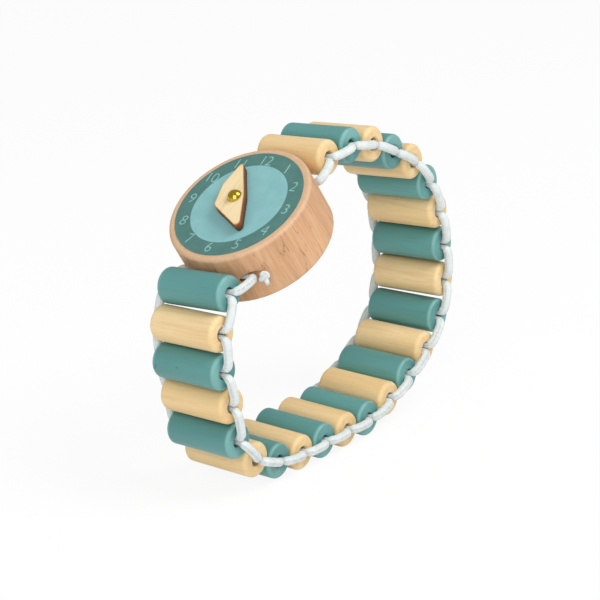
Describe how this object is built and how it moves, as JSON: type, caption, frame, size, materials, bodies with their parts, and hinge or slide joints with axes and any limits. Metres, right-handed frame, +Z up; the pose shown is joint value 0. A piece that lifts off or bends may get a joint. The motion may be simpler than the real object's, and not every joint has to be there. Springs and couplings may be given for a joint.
{
  "type": "toy wrist watch",
  "caption": "Wooden toy wrist watch: round case with a printed dial and one turning hand, on a flexible strap of dowel beads threaded on round elastic.",
  "frame": {"origin": "middle of the footprint, on the floor under the standing watch", "axes": "+X to the side where the strap runs away from the case, +Y along the wrist towards the 9 o'clock side, +Z up; the dial faces up and to -X"},
  "size_m": [0.0682, 0.0258, 0.0542],
  "materials": {
    "case_wood": "turned beech, fine sanded, unvarnished",
    "dark_print": "thin flat print",
    "light_print": "thin flat print",
    "pin_brass": "polished round head",
    "hand_plywood": "laser-cut plywood with browned edges",
    "bead_paint": "satin teal paint on dowel",
    "bead_plain": "plain dowel, fine sanded",
    "elastic_white": "round elastic with a white woven cover"
  },
  "bodies": {
    "case": {"case": "case_wood", "dial_ring": "dark_print", "dial_centre": "light_print", "hand_pin": "pin_brass", "elastic_link_01": "elastic_white", "elastic_knot": "elastic_white"},
    "hand": {"hand": "hand_plywood"},
    "bead_01": {"painted_bead_01": "bead_paint", "elastic_link_02": "elastic_white"},
    "bead_02": {"plain_bead_02": "bead_plain", "elastic_link_03": "elastic_white"},
    "bead_03": {"painted_bead_03": "bead_paint", "elastic_link_04": "elastic_white"},
    "bead_04": {"plain_bead_04": "bead_plain", "elastic_link_05": "elastic_white"},
    "bead_05": {"painted_bead_05": "bead_paint", "elastic_link_06": "elastic_white"},
    "bead_06": {"plain_bead_06": "bead_plain", "elastic_link_07": "elastic_white"},
    "bead_07": {"painted_bead_07": "bead_paint", "elastic_link_08": "elastic_white"},
    "bead_08": {"plain_bead_08": "bead_plain", "elastic_link_09": "elastic_white"},
    "bead_09": {"painted_bead_09": "bead_paint", "elastic_link_10": "elastic_white"},
    "bead_10": {"plain_bead_10": "bead_plain", "elastic_link_11": "elastic_white"},
    "bead_11": {"painted_bead_11": "bead_paint", "elastic_link_12": "elastic_white"},
    "bead_12": {"plain_bead_12": "bead_plain", "elastic_link_13": "elastic_white"},
    "bead_13": {"painted_bead_13": "bead_paint", "elastic_link_14": "elastic_white"},
    "bead_14": {"plain_bead_14": "bead_plain", "elastic_link_15": "elastic_white"},
    "bead_15": {"painted_bead_15": "bead_paint", "elastic_link_16": "elastic_white"},
    "bead_16": {"plain_bead_16": "bead_plain", "elastic_link_17": "elastic_white"},
    "bead_17": {"painted_bead_17": "bead_paint", "elastic_link_18": "elastic_white"},
    "bead_18": {"plain_bead_18": "bead_plain", "elastic_link_19": "elastic_white"},
    "bead_19": {"painted_bead_19": "bead_paint", "elastic_link_20": "elastic_white"},
    "bead_20": {"plain_bead_20": "bead_plain", "elastic_link_21": "elastic_white"},
    "bead_21": {"painted_bead_21": "bead_paint", "elastic_link_22": "elastic_white"},
    "bead_22": {"plain_bead_22": "bead_plain", "elastic_link_23": "elastic_white"},
    "bead_23": {"painted_bead_23": "bead_paint", "elastic_link_24": "elastic_white"},
    "bead_24": {"plain_bead_24": "bead_plain", "elastic_link_25": "elastic_white"}
  },
  "joints": [
    {"name": "hand_spin", "type": "hinge", "parent": "case", "child": "hand", "pos_m": [-0.01412, 0, 0.0414], "axis": [-0.5292, 0.0966, 0.843], "continuous": true},
    {"name": "strap_flex", "type": "hinge", "parent": "case", "child": "bead_01", "pos_m": [-0.02847, -0.00036, 0.03457], "axis": [-0.0342, -0.9952, 0.0918], "range_deg": [-15, 15]},
    {"name": "bead_02_hinge", "type": "hinge", "parent": "bead_01", "child": "bead_02", "pos_m": [-0.03083, -0.00066, 0.02874], "axis": [-0.0514, -0.9967, 0.0622], "range_deg": [-8.9, 8.9]},
    {"name": "bead_03_hinge", "type": "hinge", "parent": "bead_02", "child": "bead_03", "pos_m": [-0.03083, -0.00099, 0.02246], "axis": [-0.0519, -0.9976, 0.0454], "range_deg": [-8.4, 8.4]},
    {"name": "bead_04_hinge", "type": "hinge", "parent": "bead_03", "child": "bead_04", "pos_m": [-0.0292, -0.00131, 0.0164], "axis": [-0.0511, -0.9979, 0.041], "range_deg": [-2.3, 2.3]},
    {"name": "bead_05_hinge", "type": "hinge", "parent": "bead_04", "child": "bead_05", "pos_m": [-0.02811, -0.00163, 0.01021], "axis": [-0.0466, -0.9985, 0.0285], "range_deg": [-3.4, 3.4]},
    {"name": "bead_06_hinge", "type": "hinge", "parent": "bead_05", "child": "bead_06", "pos_m": [-0.02374, -0.00187, 0.0057], "axis": [-0.0285, -0.9996, 0.0084], "range_deg": [-4.5, 4.5]},
    {"name": "bead_07_hinge", "type": "hinge", "parent": "bead_06", "child": "bead_07", "pos_m": [-0.01783, -0.00198, 0.00355], "axis": [-0.0113, -0.9999, 0.0012], "range_deg": [-3.7, 3.7]},
    {"name": "bead_08_hinge", "type": "hinge", "parent": "bead_07", "child": "bead_08", "pos_m": [-0.01157, -0.00201, 0.003], "axis": [-0.0023, -1, 0.0001], "range_deg": [-2.6, 2.6]},
    {"name": "bead_09_hinge", "type": "hinge", "parent": "bead_08", "child": "bead_09", "pos_m": [-0.00528, -0.00201, 0.003], "axis": [0, -1, 0], "range_deg": [-4.4, 4.4]},
    {"name": "bead_10_hinge", "type": "hinge", "parent": "bead_09", "child": "bead_10", "pos_m": [0.00101, -0.00201, 0.003], "axis": [0, -1, 0], "range_deg": [-5.2, 5.2]},
    {"name": "bead_11_hinge", "type": "hinge", "parent": "bead_10", "child": "bead_11", "pos_m": [0.0073, -0.00201, 0.003], "axis": [0.0069, -1, 0.0005], "range_deg": [-4.1, 4.1]},
    {"name": "bead_12_hinge", "type": "hinge", "parent": "bead_11", "child": "bead_12", "pos_m": [0.01337, -0.00193, 0.00464], "axis": [0.0172, -0.9998, 0.0029], "range_deg": [-3.3, 3.3]},
    {"name": "bead_13_hinge", "type": "hinge", "parent": "bead_12", "child": "bead_13", "pos_m": [0.01915, -0.0018, 0.00712], "axis": [0.0239, -0.9997, 0.0058], "range_deg": [-2.7, 2.7]},
    {"name": "bead_14_hinge", "type": "hinge", "parent": "bead_13", "child": "bead_14", "pos_m": [0.02453, -0.00163, 0.01037], "axis": [0.033, -0.9994, 0.0117], "range_deg": [-2.3, 2.3]},
    {"name": "bead_15_hinge", "type": "hinge", "parent": "bead_14", "child": "bead_15", "pos_m": [0.02883, -0.00139, 0.01495], "axis": [0.045, -0.9987, 0.0255], "range_deg": [-4, 4]},
    {"name": "bead_16_hinge", "type": "hinge", "parent": "bead_15", "child": "bead_16", "pos_m": [0.03083, -0.00107, 0.02091], "axis": [0.0517, -0.9977, 0.0438], "range_deg": [-6.7, 6.7]},
    {"name": "bead_17_hinge", "type": "hinge", "parent": "bead_16", "child": "bead_17", "pos_m": [0.03083, -0.00075, 0.02719], "axis": [0.0521, -0.997, 0.057], "range_deg": [-5.6, 5.6]},
    {"name": "bead_18_hinge", "type": "hinge", "parent": "bead_17", "child": "bead_18", "pos_m": [0.02969, -0.00042, 0.03336], "axis": [0.0499, -0.9964, 0.0682], "range_deg": [-2.3, 2.3]},
    {"name": "bead_19_hinge", "type": "hinge", "parent": "bead_18", "child": "bead_19", "pos_m": [0.02704, -0.00012, 0.03906], "axis": [0.0435, -0.9957, 0.0814], "range_deg": [-2.5, 2.5]},
    {"name": "bead_20_hinge", "type": "hinge", "parent": "bead_19", "child": "bead_20", "pos_m": [0.02277, 0.00012, 0.04367], "axis": [0.0321, -0.9951, 0.0935], "range_deg": [-5.3, 5.3]},
    {"name": "bead_21_hinge", "type": "hinge", "parent": "bead_20", "child": "bead_21", "pos_m": [0.01724, 0.00028, 0.04666], "axis": [0.0235, -0.9948, 0.0989], "range_deg": [-4.4, 4.4]},
    {"name": "bead_22_hinge", "type": "hinge", "parent": "bead_21", "child": "bead_22", "pos_m": [0.01154, 0.00042, 0.04932], "axis": [0.0165, -0.9947, 0.1019], "range_deg": [-3.2, 3.2]},
    {"name": "bead_23_hinge", "type": "hinge", "parent": "bead_22", "child": "bead_23", "pos_m": [0.00538, 0.00048, 0.05058], "axis": [0.0029, -0.9945, 0.1044], "range_deg": [-3.3, 3.3]},
    {"name": "bead_24_hinge", "type": "hinge", "parent": "bead_23", "child": "bead_24", "pos_m": [-0.00088, 0.00045, 0.05002], "axis": [-0.018, -0.9947, 0.1013], "range_deg": [-3.8, 3.8]}
  ],
  "couplings": [
    {"joint": "bead_02_hinge", "follows": "strap_flex", "ratio": -0.5609},
    {"joint": "bead_03_hinge", "follows": "strap_flex", "ratio": -0.52485},
    {"joint": "bead_04_hinge", "follows": "strap_flex", "ratio": -0.11999},
    {"joint": "bead_05_hinge", "follows": "strap_flex", "ratio": 0.19057},
    {"joint": "bead_06_hinge", "follows": "strap_flex", "ratio": 0.26969},
    {"joint": "bead_07_hinge", "follows": "strap_flex", "ratio": 0.21651},
    {"joint": "bead_08_hinge", "follows": "strap_flex", "ratio": 0.13979},
    {"joint": "bead_09_hinge", "follows": "strap_flex", "ratio": -0.26325},
    {"joint": "bead_10_hinge", "follows": "strap_flex", "ratio": -0.31044},
    {"joint": "bead_11_hinge", "follows": "strap_flex", "ratio": -0.24269},
    {"joint": "bead_12_hinge", "follows": "strap_flex", "ratio": -0.1894},
    {"joint": "bead_13_hinge", "follows": "strap_flex", "ratio": -0.14986},
    {"joint": "bead_14_hinge", "follows": "strap_flex", "ratio": 0.11992},
    {"joint": "bead_15_hinge", "follows": "strap_flex", "ratio": 0.23186},
    {"joint": "bead_16_hinge", "follows": "strap_flex", "ratio": 0.41228},
    {"joint": "bead_17_hinge", "follows": "strap_flex", "ratio": 0.33717},
    {"joint": "bead_18_hinge", "follows": "strap_flex", "ratio": 0.12262},
    {"joint": "bead_19_hinge", "follows": "strap_flex", "ratio": -0.1324},
    {"joint": "bead_20_hinge", "follows": "strap_flex", "ratio": -0.32068},
    {"joint": "bead_21_hinge", "follows": "strap_flex", "ratio": -0.25721},
    {"joint": "bead_22_hinge", "follows": "strap_flex", "ratio": -0.18178},
    {"joint": "bead_23_hinge", "follows": "strap_flex", "ratio": -0.18768},
    {"joint": "bead_24_hinge", "follows": "strap_flex", "ratio": -0.22169}
  ]
}
